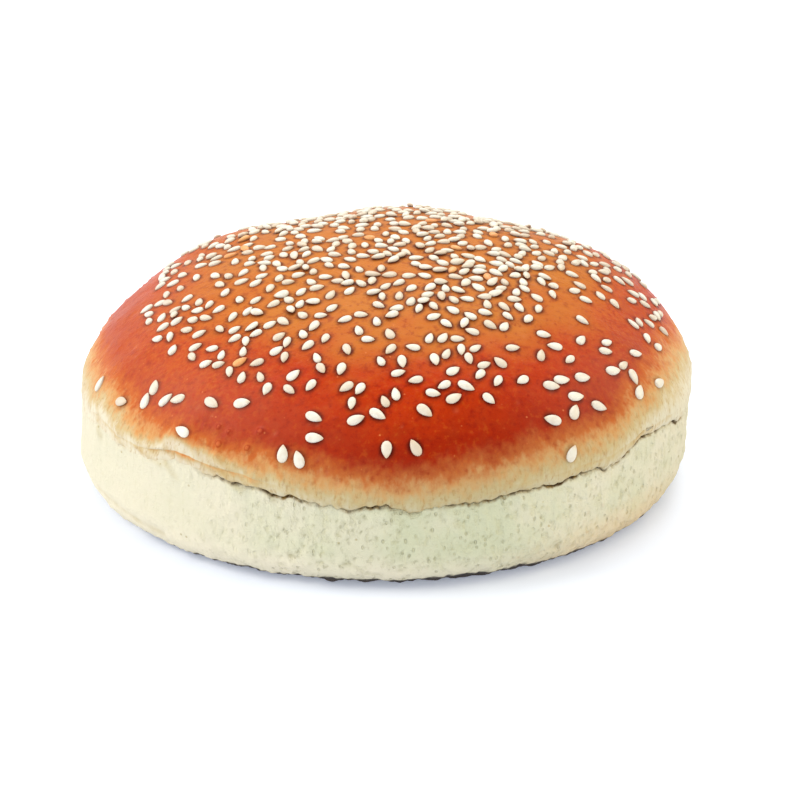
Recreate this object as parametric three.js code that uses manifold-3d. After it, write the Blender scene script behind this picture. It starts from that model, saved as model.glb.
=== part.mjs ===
// A round, uncut hamburger bun with sesame seeds baked onto its crust.
// Millimetres, +Z up. The bun rests on the plane z = 0, with the origin under the middle of its outline.
// Azimuths are in degrees round the bun: 0 is the front, towards -Y, and 90 is the right, towards +X.

import * as THREE from "three";
import { mergeVertices } from "three/addons/utils/BufferGeometryUtils.js";
import Module from "manifold-3d";

// The loaf: a flat foot, a pale side that bulges low down, a torn seam, and a domed crust above it.
const FOOT_RADIUS = 46;
const SIDE_RADIUS = 52.6;
const SIDE_HEIGHT = 6.9;
const SEAM_RADIUS = 52.2;
const SEAM_HEIGHT = 15.2;
const BROW_RADIUS = 52.8;
const BROW_HEIGHT = 17;
const CROWN_HEIGHT = 40.6;
const DOME_ROUNDNESS = 2.25; // exponent of the dome's plan: above 2, the shoulder is fuller than an ellipse
const DOME_FLATNESS = 1.67; // exponent of its height: below 2, the crown is more pointed than an ellipse

// Unevenness of the hand-shaped dough.
const LEAN = { x: 1.8, y: 1.2 }; // how far the crown sits off the foot
const FOOT_SHIFT = -0.5;
const OVAL = { share: 0.006, azimuth: -19 };
const THREE_LOBES = { share: 0.007, azimuth: 29 };
const TILT = { x: 0.017, y: 0.025 }; // share of the height gained at the rim towards +X and +Y
const SWELLS = [
  { x: -30, y: 24, rise: 1.5, spread: 10 },
  { x: -13, y: 29, rise: -0.9, spread: 9 },
  { x: 2, y: 31, rise: 0.8, spread: 9 },
  { x: 21, y: 27, rise: -0.8, spread: 9 },
  { x: 40, y: 14, rise: 0.6, spread: 10 },
];

// The seam: a shallow torn groove that wanders up and down under the brow of the crust.
const SEAM_DEPTH = 1.1;
// At the front left the dough never tore: the groove is only a faint dip there.
const SEAM_CLOSED = { azimuth: -59, turn: 33, share: 0.9 };
const SEAM_HALF_WIDTH = 0.7;
const SEAM_TEAR = 0.3; // how far the torn edges stray
const SEAM_RISES = [
  { azimuth: -66, rise: 1.0, spread: 6 },
  { azimuth: -38, rise: 2.4, spread: 9 },
  { azimuth: 4, rise: -1.4, spread: 5 },
  { azimuth: 30, rise: 0.9, spread: 6 },
  { azimuth: 55, rise: 2.7, spread: 7 },
  { azimuth: 118, rise: -1.0, spread: 16 },
  { azimuth: 165, rise: 1.6, spread: 12 },
  { azimuth: -120, rise: 1.3, spread: 14 },
];
const SEAM_WANDER = [
  { waves: 11, rise: 0.35, turn: 20, depth: 0.2 },
  { waves: 17, rise: 0.25, turn: 75, depth: 0.25 },
  { waves: 29, rise: 0.15, turn: 160, depth: 0.2 },
];
// Soft puckers, where the pale side was drawn up to the seam.
const PUCKERS = [
  { waves: 9, depth: 0.22, turn: 40 },
  { waves: 14, depth: 0.16, turn: 110 },
];

// Sesame seeds: flat drops, thick on the crown and thinning out towards the brow.
const SEED_LENGTH = 2.35;
const SEED_WIDTH = 1.36;
const SEED_THICKNESS = 0.8;
const SEED_SIZE_SPREAD = 0.13;
const SEEDS_BAKED_ON = 700;
const SEEDS_MODELLED = 310; // the largest of them
const SEED_SPACING = 1.9;
const CLOUD_MIDDLE = { x: 1, y: -3 }; // the seeds were strewn a little off the middle
const CLOUD_REACH = 47.5;
const CLOUD_DIPS = [
  { azimuth: 0, turn: 50, depth: 5.5 },
  { azimuth: -95, turn: 30, depth: 3.5 },
];
const CLOUD_SHOULDER = 28; // distance from its middle at which the cloud of seeds begins to thin
const SHARE_AT_EDGE = 0.42; // how thick the seeds lie near the brow, against the crown
const BARE_PATCHES = [
  { azimuth: -14, turn: 12, radius: 23, width: 5, share: 0.85 },
  { azimuth: 47, turn: 22, radius: 36, width: 6, share: 0.85 },
];
const CLUMPS = 66;
const CLUMP_SPACING = 7;
const CLUMP_SHARE = 0.5;
const CLUMP_SPREAD = 4;
const DRAW_START = 25211;

// Seeds that lie alone on the front of the brow: azimuth, height on the even loaf, and turn on the crust.
const LOW_SEEDS = [
  [-69, 21.6, 90],
  [-58, 21.7, 20],
  [-52, 23.5, 105],
  [-52, 25.5, 120],
  [-47, 24.6, 60],
  [-44, 25, 205],
  [-39, 20.4, 170],
  [-36, 25.7, 350],
  [-30, 26.8, 20],
  [-19, 21.7, 100],
  [-16, 21.4, 120],
  [-15, 26.9, 345],
  [-14, 24.5, 5],
  [-7, 27, 25],
  [-3, 27.7, 330],
  [-1, 23.5, 270],
  [4, 23.7, 115],
  [6, 28, 315],
  [12, 29.1, 25],
  [15, 30.2, 320],
  [30, 24.6, 150],
  [32, 19.4, 50],
  [33, 28.5, 335],
  [35, 24.7, 45],
  [36, 28.8, 345],
  [37, 26.5, 345],
  [41, 24.4, 320],
  [41, 28.3, 340],
  [49, 27.4, 340],
  [52, 23.4, 35],
  [53, 25.5, 250],
  [59, 22.7, 0],
];
const LOW_SEED_SIZE = 1.22;

const SECTORS = 6; // the dome's rings of vertices grow by this many from one to the next
const DOME_RINGS = 10;
const ROUND = SECTORS * DOME_RINGS;
const FINE = 2; // the rings at the seam have this many times as many vertices
const DEGREE = Math.PI / 180;

const wasm = await Module();
wasm.setup();

// Park and Miller's generator, so that the same seeds fall in the same places each time.
function makeDraw(start) {
  let state = start;
  return () => {
    state = (state * 16807) % 2147483647;
    return state / 2147483647;
  };
}

function bell(distance, spread) {
  return Math.exp(-(distance * distance) / (2 * spread * spread));
}

function turnBetween(a, b) {
  return ((((a - b) % 360) + 540) % 360) - 180;
}

function wander(waves, azimuth, size) {
  return waves.reduce((sum, w) => sum + w[size] * Math.sin((w.waves * azimuth + w.turn) * DEGREE), 0);
}

function seamHeight(azimuth) {
  const rises = SEAM_RISES.map((s) => s.rise * bell(turnBetween(azimuth, s.azimuth), s.spread));
  return rises.reduce((sum, rise) => sum + rise, SEAM_HEIGHT) + wander(SEAM_WANDER, azimuth, "rise");
}

// The even loaf, as [radius, height], made uneven: ovalled, leaning, tilted and swollen.
function knead(radius, height, azimuth) {
  const a = azimuth * DEGREE;
  const oval = OVAL.share * Math.cos(2 * (a - OVAL.azimuth * DEGREE));
  const lobes = THREE_LOBES.share * Math.cos(3 * (a - THREE_LOBES.azimuth * DEGREE));
  const r = radius * (1 + oval + lobes);
  const up = height / CROWN_HEIGHT;
  const low = 1 - Math.min(height / 12, 1);
  const x = r * Math.sin(a) + LEAN.x * up + FOOT_SHIFT * low;
  const y = -r * Math.cos(a) + LEAN.y * up;
  const tilted = height * (1 + (TILT.x * x + TILT.y * y) / BROW_RADIUS);
  const onDome = Math.min(Math.max((tilted - BROW_HEIGHT) / 8, 0), 1);
  const swell = SWELLS.reduce((sum, s) => sum + s.rise * bell(Math.hypot(x - s.x, y - s.y), s.spread), 0);
  return new THREE.Vector3(x, y, tilted + onDome * swell);
}

// A ring of the side, from the foot (share 0) to its widest (1), and on to just under the seam (2).
function sidePoint(share, azimuth) {
  const pucker = wander(PUCKERS, azimuth, "depth") * Math.max(share - 1, 0);
  const top = seamHeight(azimuth) - SEAM_HALF_WIDTH + tear(azimuth, 30);
  if (share <= 1) {
    const a = (share * Math.PI) / 2;
    const r = FOOT_RADIUS + (SIDE_RADIUS - FOOT_RADIUS) * Math.sin(a);
    return knead(r, SIDE_HEIGHT * (1 - Math.cos(a)), azimuth);
  }
  const t = share - 1;
  const r = SIDE_RADIUS + (SEAM_RADIUS - SIDE_RADIUS) * t * t - pucker;
  return knead(r, SIDE_HEIGHT + (top - SIDE_HEIGHT) * t, azimuth);
}

// The bottom of the groove, deeper in some places than in others.
function seamPoint(azimuth) {
  const turn = Math.abs(turnBetween(azimuth, SEAM_CLOSED.azimuth)) / SEAM_CLOSED.turn;
  const open = 1 - SEAM_CLOSED.share * Math.exp(-(turn ** 6));
  const depth = open * (SEAM_DEPTH + wander(SEAM_WANDER, azimuth + 40, "depth"));
  return knead(SEAM_RADIUS - depth, seamHeight(azimuth), azimuth);
}

// The groove's torn lips, each astray by its own wave.
function tear(azimuth, turn) {
  return SEAM_TEAR * Math.sin((23 * azimuth + turn) * DEGREE) * Math.sin((7 * azimuth + 2 * turn) * DEGREE);
}

// The brow curls out from just over the seam (share 0) to the dome's edge (1).
function browPoint(share, azimuth) {
  const low = seamHeight(azimuth) + SEAM_HALF_WIDTH + tear(azimuth, 200);
  const a = (share * Math.PI) / 2;
  const r = SEAM_RADIUS + (BROW_RADIUS - SEAM_RADIUS) * Math.sin(a);
  const high = Math.max(BROW_HEIGHT, low + 1.2);
  return knead(r, low + (high - low) * (1 - Math.cos(a)), azimuth);
}

// The dome by distance from its axis. Where the seam rises, the dome's edge rises with it.
function domePoint(radius, azimuth) {
  const share = Math.min(radius / BROW_RADIUS, 1);
  const edge = Math.max(BROW_HEIGHT, seamHeight(azimuth) + SEAM_HALF_WIDTH + 1.2);
  const foot = BROW_HEIGHT + (edge - BROW_HEIGHT) * Math.pow(share, 8);
  const rise = Math.pow(Math.max(1 - Math.pow(share, DOME_ROUNDNESS), 0), 1 / DOME_FLATNESS);
  return knead(radius, foot + (CROWN_HEIGHT - BROW_HEIGHT) * rise, azimuth);
}

// The distance from the axis at ring k, with the rings closing up towards the steep shoulder.
function domeRadius(k) {
  return BROW_RADIUS * Math.sin((k / DOME_RINGS) * (Math.PI / 2));
}

function buildLoaf() {
  const points = [];
  const triangles = [];

  function addRing(count, place) {
    const first = points.length;
    for (let i = 0; i < count; i++) points.push(place((360 * i) / count));
    return { first, count };
  }

  // Joins two rings, the lower one first. Either may have twice as many vertices as the other.
  function joinRings(low, high) {
    const steps = Math.max(low.count, high.count);
    const at = (ring, i) => ring.first + (Math.floor((i * ring.count) / steps) % ring.count);
    for (let i = 0; i < steps; i++) {
      const [a, b, c, d] = [at(low, i), at(low, i + 1), at(high, i + 1), at(high, i)];
      if (a !== b) triangles.push(a, b, c);
      if (c !== d) triangles.push(a, c, d);
    }
  }

  // Joins dome ring k to ring k + 1, which has one more vertex in each sector.
  function joinDomeRings(inner, outer, k) {
    for (let s = 0; s < SECTORS; s++) {
      for (let i = 0; i <= k; i++) {
        const a = outer.first + ((s * (k + 1) + i) % outer.count);
        const b = outer.first + ((s * (k + 1) + i + 1) % outer.count);
        const c = inner.first + ((s * k + i) % inner.count);
        triangles.push(a, b, c);
        if (i < k) {
          const d = inner.first + ((s * k + i + 1) % inner.count);
          triangles.push(c, b, d);
        }
      }
    }
  }

  const foot = points.push(new THREE.Vector3(FOOT_SHIFT, 0, 0)) - 1;
  const sides = [0, 0.33, 0.66, 1, 1.35, 1.7].map((share) => addRing(ROUND, (az) => sidePoint(share, az)));
  const lip = addRing(FINE * ROUND, (az) => sidePoint(2, az));
  const seam = addRing(FINE * ROUND, seamPoint);
  const edge = addRing(FINE * ROUND, (az) => browPoint(0, az));
  const brow = addRing(ROUND, (az) => browPoint(0.5, az));
  const domes = [];
  for (let k = DOME_RINGS; k >= 1; k--) {
    domes.push(addRing(SECTORS * k, (az) => domePoint(domeRadius(k), az)));
  }
  const crown = { first: points.push(domePoint(0, 0)) - 1, count: 1 };

  for (let i = 0; i < ROUND; i++) {
    triangles.push(foot, sides[0].first + ((i + 1) % ROUND), sides[0].first + i);
  }
  const level = [...sides, lip, seam, edge, brow, domes[0]];
  level.slice(1).forEach((ring, n) => joinRings(level[n], ring));
  for (let n = 0; n < DOME_RINGS; n++) {
    const inner = n + 1 < DOME_RINGS ? domes[n + 1] : crown;
    joinDomeRings(inner, domes[n], DOME_RINGS - n - 1);
  }

  const geometry = new THREE.BufferGeometry().setFromPoints(points);
  geometry.setIndex(triangles);
  return geometry;
}

// The distance from the axis at which the dome reaches a height.
function radiusAt(height) {
  const share = Math.pow((height - BROW_HEIGHT) / (CROWN_HEIGHT - BROW_HEIGHT), DOME_FLATNESS);
  return BROW_RADIUS * Math.pow(1 - share, 1 / DOME_ROUNDNESS);
}

// How thick the seeds lie at a place on the crust, from 0 to 1.
function seedShare(x, y) {
  const radius = Math.hypot(x - CLOUD_MIDDLE.x, y - CLOUD_MIDDLE.y);
  const azimuth = Math.atan2(x, -y) / DEGREE;
  const dips = CLOUD_DIPS.map((d) => d.depth * bell(turnBetween(azimuth, d.azimuth), d.turn));
  if (radius > CLOUD_REACH - dips[0] - dips[1]) return 0;
  const thick = SHARE_AT_EDGE + (1 - SHARE_AT_EDGE) / (1 + Math.pow(radius / CLOUD_SHOULDER, 10));
  return BARE_PATCHES.reduce((share, p) => {
    const bare = bell(turnBetween(azimuth, p.azimuth), p.turn) * bell(radius - p.radius, p.width);
    return share * (1 - p.share * bare);
  }, thick);
}

// Where the seeds fell: the low ones, and the rest singly and in clumps, never one wholly on another.
function scatterSeeds() {
  const draw = makeDraw(DRAW_START);
  const anywhere = () => ({ x: (2 * draw() - 1) * CLOUD_REACH, y: (2 * draw() - 1) * CLOUD_REACH });
  const apart = (list, p, gap) => list.every((q) => Math.hypot(p.x - q.x, p.y - q.y) >= gap);
  const seeds = LOW_SEEDS.map(([azimuth, height, turn]) => {
    const radius = radiusAt(height);
    const [x, y] = [radius * Math.sin(azimuth * DEGREE), -radius * Math.cos(azimuth * DEGREE)];
    return { x, y, turn, size: LOW_SEED_SIZE };
  });

  const clumps = [];
  while (clumps.length < CLUMPS) {
    const p = anywhere();
    if (Math.hypot(p.x, p.y) < CLOUD_REACH && apart(clumps, p, CLUMP_SPACING)) clumps.push(p);
  }

  while (seeds.length < SEEDS_BAKED_ON) {
    const clump = clumps[Math.floor(draw() * CLUMPS)];
    const inClump = draw() < CLUMP_SHARE;
    const p = anywhere();
    if (inClump) {
      p.x = clump.x + (p.x / CLOUD_REACH) * CLUMP_SPREAD;
      p.y = clump.y + (p.y / CLOUD_REACH) * CLUMP_SPREAD;
    }
    const kept = draw() < seedShare(p.x, p.y);
    const turn = draw() * 360;
    const size = 1 + (draw() + draw() - 1) * SEED_SIZE_SPREAD;
    if (kept && apart(seeds, p, SEED_SPACING)) seeds.push({ ...p, turn, size });
  }
  return seeds;
}

// A frame standing on the crust at a seed's place: z along the crust's normal, x turned as the seed lies.
function seatOf(seed) {
  const azimuth = Math.atan2(seed.x, -seed.y) / DEGREE;
  const radius = Math.hypot(seed.x, seed.y);
  const step = 0.5;
  const turnStep = step / Math.max(radius, 1) / DEGREE;
  const along = domePoint(radius, azimuth + turnStep).sub(domePoint(radius, azimuth - turnStep)).normalize();
  const inward = domePoint(Math.max(radius - step, 0), azimuth).sub(domePoint(radius + step, azimuth));
  const up = along.clone().cross(inward).normalize();
  const across = up.clone().cross(along);
  const frame = new THREE.Matrix4().makeBasis(along, across, up).setPosition(domePoint(radius, azimuth));
  return frame.multiply(new THREE.Matrix4().makeRotationZ(seed.turn * DEGREE));
}

// One seed: a drop in plan, with a ridge along its back and a keel sunk in the crust.
function buildSeed(size) {
  const length = SEED_LENGTH * size;
  const width = SEED_WIDTH * size;
  const top = SEED_THICKNESS * 0.72;
  const waist = SEED_THICKNESS * 0.25;
  const outline = [
    [0.5, 0],
    [0.18, 0.41],
    [-0.28, 0.46],
    [-0.5, 0],
    [-0.28, -0.46],
    [0.18, -0.41],
  ];
  const rim = outline.map(([x, y]) => new THREE.Vector3(x * length, y * width, waist));
  const ridge = [0.18, -0.26].map((x) => new THREE.Vector3(x * length, 0, top));
  const keel = new THREE.Vector3(-0.05 * length, 0, -SEED_THICKNESS);
  const points = [...rim, ...ridge, keel];
  const [fore, aft, under] = [6, 7, 8];
  const back = [
    [0, 1, fore],
    [1, 2, fore],
    [2, aft, fore],
    [2, 3, aft],
    [3, 4, aft],
    [4, fore, aft],
    [4, 5, fore],
    [5, 0, fore],
  ];
  const belly = rim.map((_, i) => [under, (i + 1) % rim.length, i]);
  const triangles = [...back, ...belly].flat();
  const geometry = new THREE.BufferGeometry().setFromPoints(points);
  geometry.setIndex(triangles);
  return geometry;
}

function solidOf(geometry) {
  const bare = new THREE.BufferGeometry().setAttribute("position", geometry.getAttribute("position"));
  bare.setIndex(geometry.getIndex());
  const merged = mergeVertices(bare, 1e-4);
  const vertProperties = new Float32Array(merged.getAttribute("position").array);
  const triVerts = new Uint32Array(merged.getIndex().array);
  return new wasm.Manifold(new wasm.Mesh({ numProp: 3, vertProperties, triVerts }));
}

function geometryOf(solid) {
  const mesh = solid.getMesh();
  const geometry = new THREE.BufferGeometry();
  geometry.setAttribute("position", new THREE.BufferAttribute(new Float32Array(mesh.vertProperties), 3));
  geometry.setIndex(new THREE.BufferAttribute(new Uint32Array(mesh.triVerts), 1));
  return geometry;
}

function buildBun() {
  const seeds = scatterSeeds().sort((a, b) => b.size - a.size);
  let bun = solidOf(buildLoaf());
  for (const seed of seeds.slice(0, SEEDS_MODELLED)) {
    bun = bun.add(solidOf(buildSeed(seed.size).applyMatrix4(seatOf(seed))));
  }
  const geometry = geometryOf(bun);
  geometry.computeBoundingBox();
  const middle = geometry.boundingBox.getCenter(new THREE.Vector3());
  return geometry.translate(-middle.x, -middle.y, -geometry.boundingBox.min.z);
}

const crust = new THREE.MeshStandardMaterial({ color: 0xb9672b, roughness: 0.45, metalness: 0 });
const bun = new THREE.Mesh(buildBun(), crust);
bun.name = "seeded_bun";

const part = new THREE.Group();
part.add(bun);

export default part;
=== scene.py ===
import math

import bpy
import numpy as np
from mathutils import Matrix, Vector, noise
from mathutils.bvhtree import BVHTree
from mathutils.kdtree import KDTree


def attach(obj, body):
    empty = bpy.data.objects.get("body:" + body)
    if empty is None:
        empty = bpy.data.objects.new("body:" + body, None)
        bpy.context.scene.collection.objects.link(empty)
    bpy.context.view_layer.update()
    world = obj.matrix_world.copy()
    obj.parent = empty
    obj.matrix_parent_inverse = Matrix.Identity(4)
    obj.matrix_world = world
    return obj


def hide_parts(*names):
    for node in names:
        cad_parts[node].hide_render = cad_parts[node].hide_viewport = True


bl_info = {
    "name": "Sesame Burger Bun",
    "version": (1, 0, 0),
    "blender": (4, 5, 0),
    "location": "3D View > Sidebar > Bun",
    "description": "Builds a seeded burger bun and its studio round a packed part",
    "category": "Object",
}

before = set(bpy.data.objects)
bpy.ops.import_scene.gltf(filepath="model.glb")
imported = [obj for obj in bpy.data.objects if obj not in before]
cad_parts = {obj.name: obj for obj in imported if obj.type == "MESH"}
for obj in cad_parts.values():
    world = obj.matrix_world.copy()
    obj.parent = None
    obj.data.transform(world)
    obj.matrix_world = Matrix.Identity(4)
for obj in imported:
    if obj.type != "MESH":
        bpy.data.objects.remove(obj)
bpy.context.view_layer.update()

MM = 0.001
DEGREE = math.pi / 180
NODE = "seeded_bun"
BODY = "root"


def screen(red, green, blue):
    """A colour as read from a screen, turned into the linear one that shaders use."""
    def linear(v):
        v /= 255
        return v / 12.92 if v <= 0.04045 else ((v + 0.055) / 1.055) ** 2.4
    return linear(red), linear(green), linear(blue)


def length_property(name, description, size_mm):
    return bpy.props.FloatProperty(
        name=name, description=description, default=size_mm * MM, min=0, unit="LENGTH", precision=5)


def share_property(name, description, share, top=1.0):
    return bpy.props.FloatProperty(
        name=name, description=description, default=share, min=0, max=top, subtype="FACTOR")


def colour_property(name, description, colour):
    return bpy.props.FloatVectorProperty(
        name=name, description=description, default=colour, min=0, max=1, size=3, subtype="COLOR")


class BunShape(bpy.types.PropertyGroup):
    """Sizes of the loaf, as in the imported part."""

    foot_radius: length_property("Foot radius", "Radius of the flat base", 46)
    side_radius: length_property("Side radius", "Radius where the pale side bulges most", 52.6)
    side_height: length_property("Side height", "Height of the side's widest place", 6.9)
    seam_radius: length_property("Seam radius", "Radius at the lips of the seam", 52.2)
    seam_height: length_property("Seam height", "Mean height of the torn seam", 15.2)
    seam_depth: length_property("Seam depth", "Depth of the groove at the seam", 1.1)
    brow_radius: length_property("Brow radius", "Radius of the crust over the seam", 52.8)
    brow_height: length_property("Brow height", "Height at which the dome begins", 17)
    crown_height: length_property("Crown height", "Height of the crown, without its seeds", 40.6)
    relief: share_property("Relief", "Strength of lumps, pores and blisters", 1.0, 2.0)


class SeedShape(bpy.types.PropertyGroup):
    """Sizes and number of the sesame seeds."""

    count: bpy.props.IntProperty(
        name="Seeds", description="Seeds baked onto the crust", default=700, min=40, max=900)
    length: length_property("Length", "Length of a middling seed", 2.35)
    width: length_property("Width", "Width of a middling seed", 1.36)
    thickness: length_property("Thickness", "Thickness of a middling seed", 0.8)
    toasted: share_property("Toasted", "Share of seeds that browned in the oven", 0.022)


class BunColours(bpy.types.PropertyGroup):
    """Colours of the crumb, the crust and the seeds."""

    crumb: colour_property("Crumb", "Pale side of the loaf", screen(205, 198, 174))
    # Crumb shade: also laid on the front of the wall as painted shade
    crumb_shade: colour_property("Crumb shade", "Denser, greyer patches of the side", screen(189, 190, 160))
    base: colour_property("Base", "Underside that lay on the tray", screen(206, 146, 84))
    straw: colour_property("Straw", "Palest crust, over the seam", screen(190, 170, 124))
    tan: colour_property("Tan", "Where the crust fades into the side", screen(200, 148, 88))
    orange: colour_property("Orange", "Lightly baked crust", screen(188, 94, 24))
    red: colour_property("Red", "Well baked crust", screen(166, 44, 0))
    # Dark: also laid over the front of the dome as painted shade
    dark: colour_property("Dark", "Darkest crust, low on the front", screen(118, 8, 0))
    # Golden: partly the crown's own colour, partly painted light on the top
    golden: colour_property("Golden", "Crown of the crust", screen(177, 108, 34))
    seed: colour_property("Seed", "Hulled sesame seed", screen(213, 210, 196))
    seed_shade: colour_property("Seed shade", "Darker seeds and their tips", screen(192, 174, 150))
    toasted_seed: colour_property("Toasted seed", "Seed that browned in the oven", screen(214, 158, 98))


class Studio(bpy.types.PropertyGroup):
    """The surroundings and the camera."""

    floor_size: length_property("Floor size", "Side of the square floor", 6000)
    distance: length_property("Camera distance", "From the camera to the point over the base", 400)
    elevation: bpy.props.FloatProperty(
        name="Camera elevation", description="Angle of the camera over the horizon",
        default=20.14 * DEGREE, subtype="ANGLE")
    lens: bpy.props.FloatProperty(
        name="Lens", description="Focal length on a 36 mm sensor", default=104.4, min=10)
    light: share_property("Light", "Strength of all the lamps", 1.0, 10.0)


# The loaf's form, the same as in the part's source.
LEAN_X, LEAN_Y = 1.8, 1.2
FOOT_SHIFT = -0.5
OVAL_SHARE, OVAL_AZIMUTH = 0.006, -19
LOBE_SHARE, LOBE_AZIMUTH = 0.007, 29
TILT_X, TILT_Y = 0.017, 0.025
DOME_ROUNDNESS, DOME_FLATNESS = 2.25, 1.67
OUTLINE_MIDDLE = (0.155, 0.434)  # of the loaf before it is moved over the origin
# Swells of the dome: x, y, rise and spread.
SWELLS = ((-30, 24, 1.5, 10), (-13, 29, -0.9, 9), (2, 31, 0.8, 9), (21, 27, -0.8, 9), (40, 14, 0.6, 10))
# Rises of the seam: azimuth, rise and spread, and then its waves: number round the bun, rise and turn.
SEAM_RISES = (
    (-66, 1.0, 6), (-38, 2.4, 9), (4, -1.4, 5), (30, 0.9, 6), (55, 2.7, 7), (118, -1.0, 16), (165, 1.6, 12),
    (-120, 1.3, 14),
)
SEAM_WAVES = ((11, 0.35, 20), (17, 0.25, 75), (29, 0.15, 160))
SEAM_CLOSED = (-62, 36)  # azimuth where the dough never tore, and how far to each side
CLOSED_RISE = 0.6  # how much farther out the skin lies there
FOOT_FADE, SWELL_FADE = 12, 8  # heights over which the foot's shift and the swells come and go
BROW_OVER_SEAM = 1.9  # least height of the brow over the seam
BROW_BLEND = 8  # how late the dome takes up the brow's uneven height

# Noise over the surface: rise, size of its features, seed and, where it isn't even, its stretch.
EVEN = (1, 1, 1)
SEAM_NOISE = ((0.4, 3.1, 1), (0.55, 1.0, 2))
GAPE_NOISE = ((1.1, 7, 3), (0.7, 1.6, 4))
SWELL_NOISE = ((0.42, 11, 5), (0.22, 4.2, 6))
SIDE_NOISE = ((0.2, 1.9, 7), (0.16, 1.0, 23, (1, 1, 1.4)))
STRETCH_NOISE = ((0.26, 1.3, 8, (1, 1, 4.5)),)
CRUMB_NOISE = ((0.016, 2.6, 9), (0.014, 1.0, 24))
CONTACT_SHADOW_NOISE = ((0.4, 1.1, 26), (0.5, 4, 27))
CRUST_NOISE = ((0.2, 13, 11), (0.12, 5, 12), (0.045, 1.8, 13))
BROW_NOISE = ((0.12, 1.7, 14, (1, 1, 3)), (0.08, 0.8, 15, (1, 1, 2)))
EDGE_NOISE = ((0.9, 5, 16), (0.8, 1.8, 17, (1, 1, 1.3)), (0.7, 0.8, 18, (1, 1, 1.3)))
GOLDEN_NOISE = ((2.6, 9, 20), (1.2, 3, 21))
SEED_SHIFT = 17.31  # from one seed's noise to the next one's


def bell(distance, spread):
    return np.exp(-0.5 * (distance / spread) ** 2)


def turn_between(a, b):
    return (a - b + 180) % 360 - 180


def near(azimuth, at, spread):
    """1 at one azimuth, falling off to both sides."""
    return bell(turn_between(azimuth, at), spread)


def rises_at(azimuth, table):
    """The rises of a table of (azimuth, rise, spread), added up."""
    return sum(rise * near(azimuth, at, spread) for at, rise, spread in table)


def smooth(low, high, value):
    t = np.clip((value - low) / (high - low), 0, 1)
    return t * t * (3 - 2 * t)


def rough(points, size, seed=0, stretch=EVEN):
    """Perlin noise, about -1 to 1, at each row of points in millimetres, with features about size across."""
    scaled = points / (size * np.array(stretch)) + seed * SEED_SHIFT
    return np.array([noise.noise(p) for p in scaled.tolist()])


def lumps(points, table):
    """The noises of a table, added up."""
    return sum(rise * rough(points, *rest) for rise, *rest in table)


def closed_share(azimuth):
    """1 where the seam stayed closed, 0 where it tore."""
    at, turn = SEAM_CLOSED
    return np.exp(-(np.abs(turn_between(azimuth, at)) / turn) ** 6)


class Loaf:
    """The bun's smooth form, in millimetres, from the sizes in the panel."""

    def __init__(self, shape):
        for name in ("foot_radius", "side_radius", "side_height", "seam_radius", "seam_depth", "brow_radius",
                     "brow_height", "crown_height"):
            setattr(self, name, getattr(shape, name) / MM)
        self.mean_seam = shape.seam_height / MM

    def seam_height(self, azimuth):
        height = self.mean_seam + rises_at(azimuth, SEAM_RISES)
        return height + sum(rise * np.sin((waves * azimuth + turn) * DEGREE) for waves, rise, turn in SEAM_WAVES)

    def knead(self, radius, height, azimuth):
        """The even loaf made uneven: ovalled, leaning, tilted and swollen."""
        a = azimuth * DEGREE
        oval = OVAL_SHARE * np.cos(2 * (a - OVAL_AZIMUTH * DEGREE))
        r = radius * (1 + (oval + LOBE_SHARE * np.cos(3 * (a - LOBE_AZIMUTH * DEGREE))))
        up = height / self.crown_height
        x = r * np.sin(a) + LEAN_X * up + FOOT_SHIFT * (1 - np.minimum(height / FOOT_FADE, 1))
        y = -r * np.cos(a) + LEAN_Y * up
        tilted = height * (1 + (TILT_X * x + TILT_Y * y) / self.brow_radius)
        on_dome = np.clip((tilted - self.brow_height) / SWELL_FADE, 0, 1)
        swell = sum(rise * bell(np.hypot(x - sx, y - sy), spread) for sx, sy, rise, spread in SWELLS)
        return np.stack([x - OUTLINE_MIDDLE[0], y - OUTLINE_MIDDLE[1], tilted + on_dome * swell], -1)

    def lip_radius(self, azimuth):
        return self.seam_radius + CLOSED_RISE * closed_share(azimuth)

    def brow_top(self, azimuth):
        return np.maximum(self.brow_height, self.seam_height(azimuth) + BROW_OVER_SEAM)

    def dome(self, radius, azimuth):
        share = np.minimum(radius / self.brow_radius, 1)
        foot = self.brow_height + (self.brow_top(azimuth) - self.brow_height) * share ** BROW_BLEND
        rise = np.maximum(1 - share ** DOME_ROUNDNESS, 0) ** (1 / DOME_FLATNESS)
        return self.knead(radius, foot + (self.crown_height - self.brow_height) * rise, azimuth)

    def dome_radius_at(self, height):
        share = (height - self.brow_height) / (self.crown_height - self.brow_height)
        return self.brow_radius * (1 - share ** DOME_FLATNESS) ** (1 / DOME_ROUNDNESS)

    def dome_at(self, azimuth, height):
        return self.dome(self.dome_radius_at(height), azimuth)

    def seat(self, x, y):
        """Where a seed lies over x, y on the even plan: the place, and the directions along, across and up."""
        azimuth = math.atan2(x, -y) / DEGREE
        radius = math.hypot(x, y)
        step = 0.5
        turn = step / max(radius, 1) / DEGREE
        place = self.dome(radius, azimuth)
        along = self.dome(radius, azimuth + turn) - self.dome(radius, azimuth - turn)
        inward = self.dome(max(radius - step, 0), azimuth) - self.dome(radius + step, azimuth)
        along /= np.linalg.norm(along)
        up = np.cross(along, inward)
        up /= np.linalg.norm(up)
        return place, along, np.cross(up, along), up


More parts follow.
